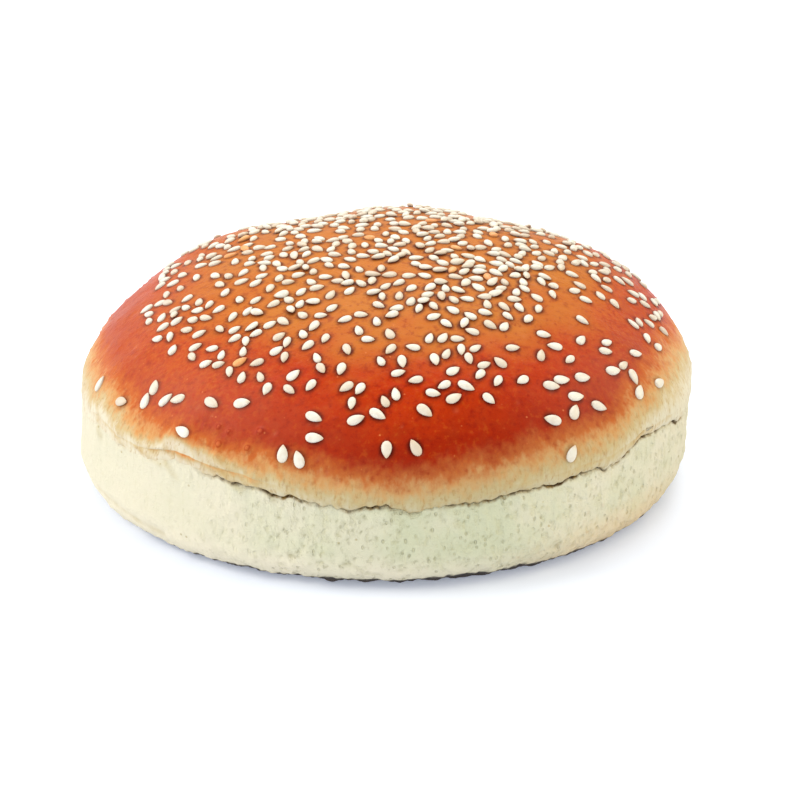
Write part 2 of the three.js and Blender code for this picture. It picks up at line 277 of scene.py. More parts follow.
# Where the seeds fell, by the same rule and the same draws as in the part's source. Dips are azimuth, depth, spread.
CLOUD_MIDDLE = (1, -3)
CLOUD_REACH = 47.5
CLOUD_DIPS = ((0, 5.5, 50), (-95, 3.5, 30))
CLOUD_SHOULDER, CLOUD_SHARPNESS = 28, 10
SHARE_AT_EDGE = 0.42
BARE_PATCHES = ((-14, 12, 23, 5, 0.85), (47, 22, 36, 6, 0.85))
CLUMPS, CLUMP_SPACING, CLUMP_SHARE, CLUMP_SPREAD = 66, 7, 0.5, 4
SEED_SPACING = 1.9
SEED_SIZE_SPREAD = 0.13
LOW_SEED_SIZE = 1.22
DRAW_START = 25211
DRAW_FACTOR, DRAW_RANGE = 16807, 2147483647
# Seeds that lie alone on the front of the brow: azimuth, height on the even loaf, and turn on the crust.
LOW_SEEDS = (
    (-69, 21.6, 90), (-58, 21.7, 20), (-52, 23.5, 105), (-52, 25.5, 120), (-47, 24.6, 60), (-44, 25, 205),
    (-39, 20.4, 170), (-36, 25.7, 350), (-30, 26.8, 20), (-19, 21.7, 100), (-16, 21.4, 120), (-15, 26.9, 345),
    (-14, 24.5, 5), (-7, 27, 25), (-3, 27.7, 330), (-1, 23.5, 270), (4, 23.7, 115), (6, 28, 315),
    (12, 29.1, 25), (15, 30.2, 320), (30, 24.6, 150), (32, 19.4, 50), (33, 28.5, 335), (35, 24.7, 45),
    (36, 28.8, 345), (37, 26.5, 345), (41, 24.4, 320), (41, 28.3, 340), (49, 27.4, 340), (52, 23.4, 35),
    (53, 25.5, 250), (59, 22.7, 0),
)


def make_draw(start):
    """Park and Miller's generator, so that the same seeds fall in the same places each time."""
    state = start

    def draw():
        nonlocal state
        state = state * DRAW_FACTOR % DRAW_RANGE
        return state / DRAW_RANGE
    return draw


def seed_share(x, y):
    """How thick the seeds lie at a place on the crust, from 0 to 1."""
    radius = math.hypot(x - CLOUD_MIDDLE[0], y - CLOUD_MIDDLE[1])
    azimuth = math.atan2(x, -y) / DEGREE
    reach = CLOUD_REACH - rises_at(azimuth, CLOUD_DIPS)
    if radius > reach:
        return 0
    share = SHARE_AT_EDGE + (1 - SHARE_AT_EDGE) / (1 + (radius / CLOUD_SHOULDER) ** CLOUD_SHARPNESS)
    for at, turn, ring, width, lost in BARE_PATCHES:
        share *= 1 - lost * near(azimuth, at, turn) * bell(radius - ring, width)
    return share


def scatter_seeds(loaf, count):
    """The seeds as (x, y, turn, size): the low ones, and the rest singly and in clumps."""
    draw = make_draw(DRAW_START)

    def anywhere():
        x = (2 * draw() - 1) * CLOUD_REACH
        return x, (2 * draw() - 1) * CLOUD_REACH

    def apart(places, p, gap):
        return all(math.hypot(p[0] - q[0], p[1] - q[1]) >= gap for q in places)

    seeds = []
    for azimuth, height, turn in LOW_SEEDS:
        radius, a = loaf.dome_radius_at(height), azimuth * DEGREE
        seeds.append((radius * math.sin(a), -radius * math.cos(a), turn, LOW_SEED_SIZE))
    clumps = []
    while len(clumps) < CLUMPS:
        p = anywhere()
        if math.hypot(*p) < CLOUD_REACH and apart(clumps, p, CLUMP_SPACING):
            clumps.append(p)
    while len(seeds) < count:
        clump = clumps[int(draw() * CLUMPS)]
        in_clump = draw() < CLUMP_SHARE
        p = anywhere()
        if in_clump:
            p = tuple(c + v / CLOUD_REACH * CLUMP_SPREAD for c, v in zip(clump, p))
        kept = draw() < seed_share(*p)
        turn = draw() * 360
        size = 1 + (draw() + draw() - 1) * SEED_SIZE_SPREAD
        if kept and apart(seeds, p, SEED_SPACING):
            seeds.append((*p, turn, size))
    return seeds


# Meshes made of level rings.
FAR = 99.0  # stands for the distance from the seam of points far from it


class Rings:
    """Rings of points stacked into a closed skin, each with the values that its relief and colours need."""

    def __init__(self):
        self.places, self.azimuths, self.heights, self.gaps, self.faces, self.rings = ([] for _ in range(6))
        self.count = 0

    def add(self, count, place, height, gap=FAR):
        """A ring of count points. height and gap, the distance over the seam, are numbers or one per point."""
        azimuth = np.arange(count) * 360 / count
        points = place(azimuth)
        first = self.count
        self.places.append(points)
        self.azimuths.append(azimuth)
        self.heights.append(np.broadcast_to(height(azimuth) if callable(height) else height, (count,)))
        self.gaps.append(np.broadcast_to(gap, (count,)))
        self.count += count
        if self.rings:
            self._join(self.rings[-1], (first, count))
        self.rings.append((first, count))

    def _join(self, low, high):
        steps = max(low[1], high[1])
        for i in range(steps):
            a, b, c, d = (ring[0] + (j * ring[1] // steps) % ring[1]
                          for ring, j in ((low, i), (low, i + 1), (high, i + 1), (high, i)))
            corners = [a]
            for corner in (b, c, d):
                if corner != corners[-1]:
                    corners.append(corner)
            self.faces.append(corners[:-1] if corners[-1] == corners[0] else corners)

    def close(self, low, high):
        """Fans out to a middle point at each end, given as place, height and gap, and gives all points."""
        (first, count), (last, last_count), middle = self.rings[0], self.rings[-1], self.count
        self.faces += [[middle, first + (i + 1) % count, first + i] for i in range(count)]
        self.faces += [[last + i, last + (i + 1) % last_count, middle + 1] for i in range(last_count)]
        ends = zip(low, high)
        return (np.concatenate([*self.places, next(ends)]), np.concatenate([*self.azimuths, (0, 0)]),
                np.concatenate([*self.heights, next(ends)]), np.concatenate([*self.gaps, next(ends)]))


def new_mesh(name, points, faces):
    mesh = bpy.data.meshes.new(name)
    mesh.from_pydata((points * MM).tolist(), [], faces)
    mesh.update()
    return mesh


def normals_of(mesh):
    values = np.zeros(len(mesh.vertices) * 3, np.float32)
    mesh.vertex_normals.foreach_get("vector", values)
    return values.reshape(-1, 3).astype(float)


def finish_piece(name, mesh, values, material):
    """Makes the object, stores its values at its points for the shader, and hands it to the frame."""
    for key, value in values.items():
        mesh.attributes.new(key, "FLOAT", "POINT").data.foreach_set("value", np.asarray(value, np.float32))
    mesh.polygons.foreach_set("use_smooth", [True] * len(mesh.polygons))
    mesh.materials.append(material)
    mesh.update()
    piece = bpy.data.objects.new(name, mesh)
    bpy.context.scene.collection.objects.link(piece)
    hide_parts(NODE)
    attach(piece, BODY)


# Relief of the seam and the side.
CRACK_WIDTH, GROOVE_WIDTH = 0.13, 0.6
CRACK_SHARE, GROOVE_SHARE = 0.55, 0.16  # of the seam's depth
SEAM_STEPS = ((43, -0.7, 3), (51, 0.8, 3.5))  # azimuth, rise and spread of finer steps
AROUND = 52  # radius at which azimuths are turned into lengths
RING = 1024  # points round the bun at the seam


def round_the_seam(azimuth):
    """The points where the seam's own noise is read."""
    return np.stack([np.sin(azimuth * DEGREE), np.cos(azimuth * DEGREE), 0 * azimuth], -1) * AROUND


def crack_strength(azimuth):
    """How far the seam gapes at each azimuth: it comes and goes, and closes up at the front left."""
    gape = 0.75 + lumps(round_the_seam(azimuth), GAPE_NOISE)
    return np.clip(gape, 0.12, 1.3) * (1 - 0.97 * closed_share(azimuth))


def seam_line(loaf, azimuth):
    """The crack's height: the part's seam, torn into finer steps."""
    return loaf.seam_height(azimuth) + rises_at(azimuth, SEAM_STEPS) + lumps(round_the_seam(azimuth), SEAM_NOISE)


def seam_inset(loaf, azimuth, gap):
    """How far the skin lies in from the smooth loaf at a distance over or under the crack."""
    open_share = 1 - closed_share(azimuth)
    groove = GROOVE_SHARE * loaf.seam_depth * open_share * np.exp(-(gap / GROOVE_WIDTH) ** 2)
    crack = CRACK_SHARE * loaf.seam_depth * crack_strength(azimuth) * np.exp(-(np.abs(gap) / CRACK_WIDTH) ** 1.5)
    return groove + crack


# Folds at the front left, where the pale side was drawn up: from one azimuth and height to another, and the rise.
FOLDS = (
    (-66, 18.6, -64, 15.4, 0.35), (-57, 18.4, -55, 16.6, 0.4), (-50, 17.6, -44, 16.6, 0.35),
    (-43, 17.4, -40.5, 15.2, 0.4), (-31, 18.6, -27, 15.8, 0.5), (-24, 17.4, -21, 15.0, 0.3),
)
CREASE = (-66, 4.6, -44, 3.2, 0.4)


def ridge(azimuth, height, line, width):
    """The rise of a fold on its line over the side, falling off across it."""
    a0, h0, a1, h1, depth = line
    arc = AROUND * DEGREE
    x, y = turn_between(azimuth, a0) * arc, height - h0
    dx, dy = (a1 - a0) * arc, h1 - h0
    t = np.clip((x * dx + y * dy) / (dx * dx + dy * dy), 0, 1)
    away = np.hypot(x - t * dx, y - t * dy)
    return depth * bell(away, width)


def swell_out(loaf, points, azimuths, heights):
    """Moves the points out and in by the side's slow swells, which fade over the seam."""
    rise = lumps(points, SWELL_NOISE)
    rise *= smooth(0.0, 1.6, heights) * smooth(8, 1, heights - loaf.seam_height(azimuths))
    points[:, :2] *= (1 + rise / np.maximum(np.hypot(points[:, 0], points[:, 1]), 1))[:, None]


def tree_of(places):
    """A search tree of the places."""
    tree = KDTree(len(places))
    for i, place in enumerate(places):
        tree.insert(place, i)
    tree.balance()
    return tree


def dots(points, spots):
    """Sum of round dents or blisters at the points: each is a bell as wide as its radius."""
    tree = tree_of(points.tolist())
    total = np.zeros(len(points))
    for centre, radius, depth in spots:
        for _, i, distance in tree.find_range(Vector(centre), radius * 1.6):
            total[i] += depth * math.exp(-2.2 * (distance / radius) ** 2)
    return total


BASE_RINGS = ((0.35, 128), (0.55, 256), (0.75, 512), (0.9, 512), (0.97, RING))  # share of the foot, points
BULGE_STEPS, UPPER_STEPS = 28, 18  # rings up to the widest place, and from there to the lip
LIP_HEIGHT = 1.5  # under the crack, where finer rings begin
LIP_GAPS = (1.2, 0.95, 0.75, 0.58, 0.44, 0.33, 0.24, 0.17, 0.11, 0.06, 0)
PORES, PORES_FROM, PORES_REACH = 1300, 1.6, 12
PORE_DEPTH = 0.42
CONTACT_SHADOW_MEAN, CONTACT_SHADOW_RISES = 1.5, ((-70, -0.8, 26), (30, 0.6, 26))  # height of the painted contact shadow along the foot
WARMTH = ((52, 0.56, 22), (-72, 0.14, 18))  # how toasted the side is: azimuth, share and spread


def build_side(loaf, relief):
    """The pale side and the base, up to the bottom of the crack."""
    skin = Rings()
    skin.add(64, lambda az: loaf.knead(0.15 * loaf.foot_radius + 0 * az, 0 * az, az), 0)
    for share, count in BASE_RINGS:
        skin.add(count, lambda az, s=share: loaf.knead(s * loaf.foot_radius + 0 * az, 0 * az, az), 0)
    for k in range(BULGE_STEPS + 1):
        a = k / BULGE_STEPS * math.pi / 2
        radius = loaf.foot_radius + (loaf.side_radius - loaf.foot_radius) * math.sin(a)
        height = loaf.side_height * (1 - math.cos(a))
        skin.add(RING, lambda az, r=radius, h=height: loaf.knead(r + 0 * az, h + 0 * az, az), height)

    def upper(t, gap):
        def height_at(az):
            top = seam_line(loaf, az)
            return loaf.side_height + (top - LIP_HEIGHT - loaf.side_height) * t if gap is None else top - gap

        def place(az):
            top = seam_line(loaf, az)
            height = np.minimum(height_at(az), top)
            along = (height - loaf.side_height) / (top - loaf.side_height)
            radius = loaf.side_radius + (loaf.lip_radius(az) - loaf.side_radius) * along ** 2
            return loaf.knead(radius - seam_inset(loaf, az, top - height), height, az)
        return place, height_at

    for k in range(1, UPPER_STEPS + 1):
        skin.add(RING, *upper(k / UPPER_STEPS, None))
    for gap in LIP_GAPS:
        skin.add(RING, *upper(None, gap), gap)

    # The flat middle of the base and the hidden top close the skin.
    points, azimuths, heights, gaps = skin.close(
        ((0, 0, 0), 0, FAR), ((0, 0, loaf.mean_seam - 1), loaf.mean_seam, 0))

    mesh = new_mesh("pale_side", points, skin.faces)
    normals = normals_of(mesh)
    clear = smooth(0.0, 1.6, heights) * smooth(0.0, 0.9, np.abs(gaps))
    near_seam = bell(loaf.seam_height(azimuths) - heights, 3.0) * (heights > loaf.side_height)
    rise = lumps(points, SIDE_NOISE) * (1 - 0.6 * closed_share(azimuths))
    rise += near_seam * lumps(points, STRETCH_NOISE)
    for fold in FOLDS:
        rise += ridge(azimuths, heights, fold, 0.62)
    rise -= ridge(azimuths, heights, CREASE, 0.9)

    # Pores, sparse and of all sizes.
    draw = make_draw(4021)
    spots = []
    for _ in range(PORES):
        az, height = draw() * 360, PORES_FROM + PORES_REACH * draw()
        size = (0.2 + 0.36 * draw() ** 3) * (1 - 0.4 * closed_share(az))
        t = max(height - loaf.side_height, 0) / (loaf.mean_seam - loaf.side_height)
        low = min(height / loaf.side_height, 1)
        radius = loaf.foot_radius + (loaf.side_radius - loaf.foot_radius) * math.sqrt(1 - (1 - low) ** 2)
        radius -= (loaf.side_radius - loaf.seam_radius) * t * t
        depth = (0.35 + 0.5 * draw()) * (1 - 0.6 * closed_share(az))
        spots.append((loaf.knead(radius, height, az), size, depth))
    pores = dots(points, spots)
    rise -= PORE_DEPTH * np.minimum(pores, 1)
    swell_out(loaf, points, azimuths, heights)
    points += normals * (relief * rise * clear)[:, None]
    wall = heights > 0.0
    # A dark bluish line along the foot: painted contact shadow.
    thick = CONTACT_SHADOW_MEAN + rises_at(azimuths, CONTACT_SHADOW_RISES)
    rim = smooth(thick, thick - 0.3, heights + lumps(points, CONTACT_SHADOW_NOISE)) * wall
    crumbs = smooth(2.6, 0.3, heights)
    points[:, :2] *= (1 + crumbs * lumps(points, CRUMB_NOISE))[:, None]
    mesh.vertices.foreach_set("co", (points * MM).astype(np.float32).ravel())

    # Dark colour in the crack and on the wall just under the lip: the crack's own olive-brown, and painted shade of
    # the gap.
    crack = np.exp(-(np.abs(gaps) / 0.45) ** 4) * np.clip(crack_strength(azimuths), 0, 1)
    toast = 0.35 * smooth(2.2, 0.0, heights + 1.1 * rough(points, 2.4, seed=10)) * wall
    # Painted shade on the front of the wall.
    dull = near(azimuths, 8, 16) * smooth(1, 8, heights)
    calm = closed_share(azimuths) * wall
    pale = smooth(7.5, 3, heights) * (1 - 0.6 * near(azimuths, 34, 20)) * wall
    # Painted shade beside each fold and in the crease.
    fold_shade = sum(ridge(azimuths - 1.1, heights + 0.3, fold, 0.35) for fold in FOLDS)
    fold_shade += ridge(azimuths, heights, CREASE, 0.5)
    toast = np.maximum(toast, rises_at(azimuths, WARMTH) * smooth(13, 2, heights))
    fold_shade *= 0.7 + 0.6 * rough(points, 2, seed=25)
    return mesh, {
        "pore": np.minimum(pores, 1), "crack": crack, "fold": fold_shade, "toast": toast,
        "under": 1.0 - wall, "rim": rim, "dull": dull, "calm": calm, "pale": pale, "stretch": near_seam}


# Height of the fading edge of the crust, how far it takes to fade, and its rises: azimuth, rise and spread.
EDGE_MEAN, EDGE_FADE = 20.3, 10
EDGE_RISES = (
    (3, -2.7, 11), (38, -0.9, 9), (72, 3.2, 16), (-76, 0.9, 12), (-36, -2.6, 12), (140, 1.2, 24), (-140, -1.0, 20),
)
# Painted highlights of the side lamps on the crust, laid as paler patches: share, azimuth, half width, height, half
# height.
PAINTED_HIGHLIGHTS = ((1.0, -40, 18, 25.5, 4), (0.8, 50, 15, 27, 3.5), (0.8, -85, 18, 28, 6))
# Large blisters at the front left: azimuth, height and radius.
BLISTERS = ((-32.3, 23.0, 0.8), (-30, 22.7, 0.65), (-24.2, 23.9, 1.05), (-31, 20.6, 0.9), (-25.5, 21.2, 0.85))
SMALL_BLISTERS, SCARS = 260, 150
SCAR_DEPTH = 0.16
BROW_STEPS = (0, 0.018, 0.04, 0.065, 0.095, 0.13, 0.17, 0.22, 0.28, 0.35, 0.43, 0.52, 0.62, 0.72, 0.82, 0.91)
BROW_TALL, BROW_LEAST = 2.8, 1.6  # middling and least height of the brow over the torn line
SKIN_STEP, CROWN_STEP, POINT_GAP, CROWN_RADIUS = 0.42, 0.5, 0.28, 1.2  # between rings and points, and the last ring
COLLAR_RISE = 0.07  # of the dough round each seed
SEED_SHADOW_TOWARD, SEED_SHADOW_SHIFT = (0, -30, 10), 0.3  # the dark rim painted round each seed, partly darker egg wash and partly painted shadow, reaches farther on this side


def build_crust(loaf, seeds, relief):
    """The browned crust from the bottom of the crack over the crown."""
    skin = Rings()

    def brow(gap):
        def height_at(az):
            low = seam_line(loaf, az)
            return low + (np.maximum(loaf.brow_top(az), low + BROW_LEAST) - low) * gap

        def place(az):
            height = height_at(az)
            radius = loaf.lip_radius(az) + (loaf.brow_radius - loaf.lip_radius(az)) * np.sqrt(1 - (1 - gap) ** 2)
            return loaf.knead(radius - seam_inset(loaf, az, height - seam_line(loaf, az)), height, az)
        return place, height_at

    for gap in BROW_STEPS:
        skin.add(RING, *brow(gap), gap * BROW_TALL)

    angles = np.linspace(0, math.pi / 2, 1500)
    radii = loaf.brow_radius * np.cos(angles) ** (2 / DOME_ROUNDNESS)
    rises = (loaf.crown_height - loaf.brow_height) * np.sin(angles) ** (2 / DOME_FLATNESS)
    arc = np.concatenate([[0], np.cumsum(np.hypot(np.diff(radii), np.diff(rises)))])
    s, count = 0.0, RING
    while True:
        radius = float(np.interp(s, arc, radii))
        if radius < CROWN_RADIUS:
            break
        height = loaf.brow_height + float(np.interp(s, arc, rises))
        while count > 16 and radius * 2 * math.pi / count < POINT_GAP:
            count //= 2
        skin.add(count, lambda az, r=radius: loaf.dome(r + 0 * az, az), height)
        s += SKIN_STEP if count == RING else CROWN_STEP
    crown = loaf.dome(np.array([0.0]), np.array([0.0]))[0]
    points, azimuths, heights, gaps = skin.close(
        ((0, 0, loaf.mean_seam + 0.6), loaf.mean_seam, 0), (crown, loaf.crown_height, FAR))

    mesh = new_mesh("baked_crust", points, skin.faces)
    normals = normals_of(mesh)
    clear = smooth(0.0, 0.9, gaps)
    band = smooth(6.5, 0.5, heights - loaf.seam_height(azimuths))
    rise = lumps(points, CRUST_NOISE)
    for fold in FOLDS:
        rise += ridge(azimuths, heights, fold, 0.55)
    rise += band * lumps(points, BROW_NOISE)

    # Blisters, mostly low on the front, and the dents that lost seeds left.
    draw = make_draw(733)
    spots = [(loaf.dome_at(azimuth, height), size, 0.5) for azimuth, height, size in BLISTERS]
    for _ in range(SMALL_BLISTERS):
        place = loaf.dome_at(draw() * 360, 18.5 + 12 * draw() ** 1.6)
        spots.append((place, 0.35 + 0.45 * draw() ** 2, 0.1 + 0.12 * draw()))
    blisters = dots(points, spots)
    spots = []
    for _ in range(SCARS):
        place = loaf.dome_at(draw() * 360, 18 + 20 * draw())
        spots.append((place, 0.3 + 0.4 * draw(), 0.5 + 0.5 * draw()))
    scars = dots(points, spots)
    rise += blisters - SCAR_DEPTH * scars

    # The dough stands up a little round each seed. A dark rim is painted round it: partly egg wash that pooled and
    # darkened there, partly painted shadow of the seed.
    seats = [loaf.seat(x, y) for x, y, _, _ in seeds]
    tree = tree_of([seat[0] for seat in seats])
    nearest = np.array([tree.find(p)[1] for p in points.tolist()])
    place, along, across, _ = (np.array(part)[nearest] for part in zip(*seats))
    _, _, turns, sizes = np.array(seeds)[nearest].T
    turns = turns * DEGREE
    # The painted seed shadow is shifted a little towards one side.
    shadow_shift = place - SEED_SHADOW_TOWARD
    shadow_shift *= -SEED_SHADOW_SHIFT / np.linalg.norm(shadow_shift, axis=1)[:, None]
    offset = points - place
    from_shadow = offset - shadow_shift
    w = np.hypot((from_shadow * along).sum(1), (from_shadow * across).sum(1))
    u, v = (offset * along).sum(1), (offset * across).sum(1)
    u, v = u * np.cos(turns) + v * np.sin(turns), v * np.cos(turns) - u * np.sin(turns)
    far = np.hypot(u / (1.2 * sizes), v / (0.72 * sizes))
    collar = bell(far - 1.05, 0.22)
    halo = bell(np.maximum(far - 1.0, 0), 0.34) * smooth(1.9, 1.0, w)
    rise += COLLAR_RISE * collar
    swell_out(loaf, points, azimuths, heights)
    points += normals * (relief * rise * clear)[:, None]
    mesh.vertices.foreach_set("co", (points * MM).astype(np.float32).ravel())

    # How far the crust browned, from 0 at the seam to 1 over the fading edge.
    edge = EDGE_MEAN + rises_at(azimuths, EDGE_RISES) + lumps(points, EDGE_NOISE)
    bake = np.clip((heights - edge) / EDGE_FADE + 0.5, 0, 1) ** 1.2
    bake *= 1 - 0.15 * smooth(22, 58, np.abs(turn_between(azimuths, 6)))
    over_seam = heights - loaf.seam_height(azimuths)
    bake *= 1 - closed_share(azimuths) * smooth(2.6, 0.2, over_seam + 0.8 * rough(points, 1.6, seed=28))
    # Lighter golden crown: partly the crust's own colour, partly painted light and sheen on the top.
    golden = smooth(29, 38.5, heights + lumps(points, GOLDEN_NOISE))
    # The front of the dome, where the darker band and the painted front shade lie.
    front = near(azimuths, 13, 26)
    # Darker band just over the fading edge: partly browner crust all round, partly painted shade, strongest on the
    # front.
    dark = 0.2 + 0.8 * front + 0.4 * smooth(90, 150, np.abs(turn_between(azimuths, 0)))
    dark *= bell(heights - (edge + 5.0), 2.8) * (0.85 + 0.3 * rough(points, 6, seed=22))
    # Painted highlights where the side lamps shine on the crust.
    flush = sum(share * near(azimuths, at, turn) * bell(heights - height, spread)
                for share, at, turn, height, spread in PAINTED_HIGHLIGHTS)
    # Dark colour in the crack: its own olive-brown, and painted shade of the gap.
    crack = np.exp(-(np.abs(gaps) / 0.3) ** 2) * np.clip(crack_strength(azimuths), 0, 1)
    # Painted shade beside each fold.
    fold_shade = sum(ridge(azimuths - 1.1, heights + 0.3, fold, 0.35) for fold in FOLDS)
    return mesh, {
        "bake": bake, "fold": fold_shade, "golden": golden, "dark": np.clip(dark, 0, 1), "dusk": front * (1 - bake),
        "halo": halo * (heights > 18), "flush": np.minimum(flush, 1), "scar": np.minimum(scars, 1),
        "blister": np.clip(blisters * 3 - 0.5, 0, 1), "crack": crack}


# Seeds.
SEED_RINGS, SEED_SIDES = 9, 14


def seed_form(length, width, thickness):
    """One seed along x, from its blunt tail to its tip: points, faces, and how near each point is to the tip."""
    points, faces, tips = [[-0.5 * length, 0, 0]], [], [0.0]
    for k in range(1, SEED_RINGS):
        t = k / SEED_RINGS * math.pi
        x = -math.cos(t)
        swell = (1 - x) ** 0.8 * (1 + x) ** 0.5 / 1.035
        for j in range(SEED_SIDES):
            a = j / SEED_SIDES * 2 * math.pi
            y, z = math.cos(a), math.sin(a)
            y = math.copysign(abs(y) ** 0.9, y)
            points.append([0.5 * length * x, 0.5 * width * swell * y, 0.5 * thickness * swell ** 0.75 * z])
            tips.append(smooth(0.35, 1.0, x) + 0.5 * smooth(-0.7, -1.0, x))
    points.append([0.5 * length, 0, 0])
    tips.append(1.0)
    last = len(points) - 1
    for j in range(SEED_SIDES):
        n = (j + 1) % SEED_SIDES
        faces.append([0, 1 + n, 1 + j])
        for k in range(SEED_RINGS - 2):
            a = 1 + k * SEED_SIDES
            faces.append([a + j, a + n, a + SEED_SIDES + n, a + SEED_SIDES + j])
        a = 1 + (SEED_RINGS - 2) * SEED_SIDES
        faces.append([a + j, a + n, last])
    return np.array(points), faces, np.array(tips)


def build_seeds(loaf, seeds, shape, crust):
    """Two joined meshes, the pale seeds and the toasted ones, lying on the crust."""
    surface = BVHTree.FromPolygons([v.co / MM for v in crust.vertices], [p.vertices[:] for p in crust.polygons])
    draw = make_draw(90217)
    form, faces, tips = seed_form(shape.length / MM, shape.width / MM, shape.thickness / MM)
    piles = {False: ([], [], [], []), True: ([], [], [], [])}
    laid = []
    for x, y, turn, size in seeds:
        place, along, across, up = loaf.seat(x, y)
        hit = surface.ray_cast(Vector(place + 4 * up), Vector(-up))[0]
        place = np.array(hit) if hit is not None else place
        toasted = draw() < shape.toasted and len(laid) >= len(LOW_SEEDS)
        crowd = sum(1 for q in laid if np.linalg.norm(place - q) < 2.1)
        laid.append(place)
        lift = (0.17 + 0.24 * min(crowd, 2)) * shape.thickness / MM
        slope = Matrix.Rotation((draw() - 0.5) * (0.2 + 0.35 * min(crowd, 2)), 3, "X")
        slope = slope @ Matrix.Rotation((draw() - 0.5) * (0.14 + 0.3 * min(crowd, 2)), 3, "Y")
        turned = Matrix((along, across, up)).transposed() @ Matrix.Rotation(turn * DEGREE, 3, "Z") @ slope
        bent = form * (size, size * (0.94 + 0.12 * draw()), 0.92 + 0.2 * draw())
        bent[:, 2] += 0.03 * rough(bent + 40 * draw(), 1.2)
        points, skin, tones, ends = piles[toasted]
        first = sum(len(p) for p in points)
        points.append(bent @ np.array(turned).T + place + lift * up)
        skin += [[first + i for i in face] for face in faces]
        tones.append(np.full(len(form), draw()))
        ends.append(tips)
    made = []
    for points, skin, tones, ends in (piles[False], piles[True]):
        mesh = new_mesh("seeds", np.concatenate(points), skin)
        made.append((mesh, {"tone": np.concatenate(tones), "tip": np.concatenate(ends)}))
    return made


# Shaders.
def wired(operation, reflected=False):
    """An operator of a wire, or its reflected form, which has the wire on the right."""
    def apply(self, other):
        return self.paint.math(operation, *((other, self) if reflected else (self, other)))
    return apply


class Wire:
    """A value in a node tree, on which Python's operators add Math nodes."""

    def __init__(self, paint, socket):
        self.paint, self.socket = paint, socket

    __add__ = wired("ADD")
    __radd__ = wired("ADD", True)
    __sub__ = wired("SUBTRACT")
    __rsub__ = wired("SUBTRACT", True)
    __mul__ = wired("MULTIPLY")
    __rmul__ = wired("MULTIPLY", True)
    __pow__ = wired("POWER")


class Paint:
    """A material and the nodes that colour it."""

    def __init__(self, name):
        self.material = bpy.data.materials.new(name)
        self.material.use_nodes = True
        self.tree = self.material.node_tree
        self.tree.nodes.clear()
        self.place = self.node("ShaderNodeTexCoord", output="Object")

    def node(self, kind, settings=None, sockets=None, output=0):
        """Adds a node: its settings first, then the values or links of its sockets. Gives one output."""
        made = self.tree.nodes.new(kind)
        for key, value in (settings or {}).items():
            if key == "stops":
                for _ in value[2:]:
                    made.color_ramp.elements.new(1)
                for element, (at, colour) in zip(made.color_ramp.elements, value):
                    element.position, element.color = at, (*colour, 1)
            else:
                setattr(made, key, value)
        for key, value in (sockets or {}).items():
            if isinstance(value, Wire):
                self.tree.links.new(value.socket, made.inputs[key])
            else:
                made.inputs[key].default_value = value
        return None if output is None else Wire(self, made.outputs[output])

    def math(self, operation, *values, clamp=False):
        return self.node("ShaderNodeMath", {"operation": operation, "use_clamp": clamp}, dict(enumerate(values)))

    def clamped(self, value):
        return self.math("ADD", value, 0.0, clamp=True)

    def mix(self, factor, a, b):
        sockets = {0: factor, 6: a if isinstance(a, Wire) else (*a, 1), 7: b if isinstance(b, Wire) else (*b, 1)}
        return self.node("ShaderNodeMix", {"data_type": "RGBA", "clamp_factor": True}, sockets, 2)

    def lay(self, factor, colour):
        """Lays a colour over what is there already."""
        self.colour = self.mix(factor, self.colour, colour)

    def stored(self, name):
        """A value that the mesh holds at its points."""
        return self.node("ShaderNodeAttribute", {"attribute_name": name}, output="Fac")

    def scaled(self, size_mm, stretch):
        scale = tuple(1 / (size_mm * MM * s) for s in stretch)
        return self.node("ShaderNodeVectorMath", {"operation": "MULTIPLY"}, {0: self.place, 1: scale})

    def noise(self, size_mm, detail=2.0, roughness=0.5, stretch=EVEN):
        """Noise from 0 to 1 with features about size_mm across."""
        sockets = {"Vector": self.scaled(size_mm, stretch), "Scale": 1.0, "Detail": detail, "Roughness": roughness}
        return self.node("ShaderNodeTexNoise", {}, sockets)

    def cells(self, size_mm, stretch=EVEN):
        """Distance to the nearest of scattered points about size_mm apart, as a share of that size."""
        sockets = {"Vector": self.scaled(size_mm, stretch), "Scale": 1.0}
        return self.node("ShaderNodeTexVoronoi", {}, sockets, "Distance")

    def step(self, value, low, high):
        """0 where value is under low, 1 over high, and smooth between. low may be over high."""
        sockets = {"Value": value, "From Min": low, "From Max": high}
        return self.node("ShaderNodeMapRange", {"interpolation_type": "SMOOTHSTEP"}, sockets)

    def bump(self, height, depth_mm):
        return self.node("ShaderNodeBump", {}, {"Height": height, "Distance": depth_mm * MM}, "Normal")

    def finish(self, fixed, **changing):
        """The surface itself. fixed holds plain numbers by socket name; changing holds wires."""
        sockets = {key.replace("_", " ").title(): value for key, value in changing.items()}
        surface = self.node("ShaderNodeBsdfPrincipled", {}, {**fixed, **sockets}, "BSDF")
        self.node("ShaderNodeOutputMaterial", {}, {"Surface": surface}, None)
        return self.material


